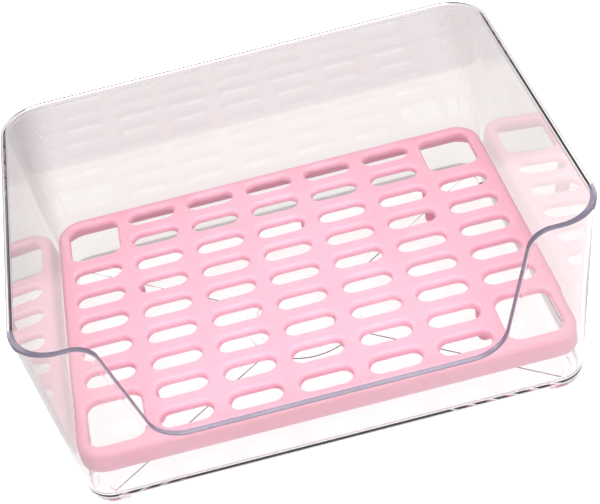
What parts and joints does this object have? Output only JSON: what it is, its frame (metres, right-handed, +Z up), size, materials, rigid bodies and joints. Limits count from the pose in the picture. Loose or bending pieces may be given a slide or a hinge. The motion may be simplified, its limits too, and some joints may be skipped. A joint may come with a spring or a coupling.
{
  "type": "refrigerator storage bin with drain tray",
  "caption": "Clear drafted refrigerator bin with a scooped low front, rimmed edge and corner feet, holding a slotted pink drain tray on legs that lifts out.",
  "frame": {"origin": "middle of the bin's footprint, on the plane of the corner feet", "axes": "+Z up, the low scooped front faces -Y, the long side runs along X"},
  "size_m": [0.2788, 0.2088, 0.1165],
  "materials": {
    "clear_plastic": "transparent, polished, faint cool grey tint at the edges",
    "pink_plastic": "opaque pastel pink with a satin surface"
  },
  "bodies": {
    "tub": {"tub": "clear_plastic"},
    "drain_tray": {"drain_tray": "pink_plastic"}
  },
  "joints": [
    {"name": "tray_lift", "type": "slide", "parent": "tub", "child": "drain_tray", "axis": [0, 0, 1], "range_m": [0, 0.125]}
  ]
}
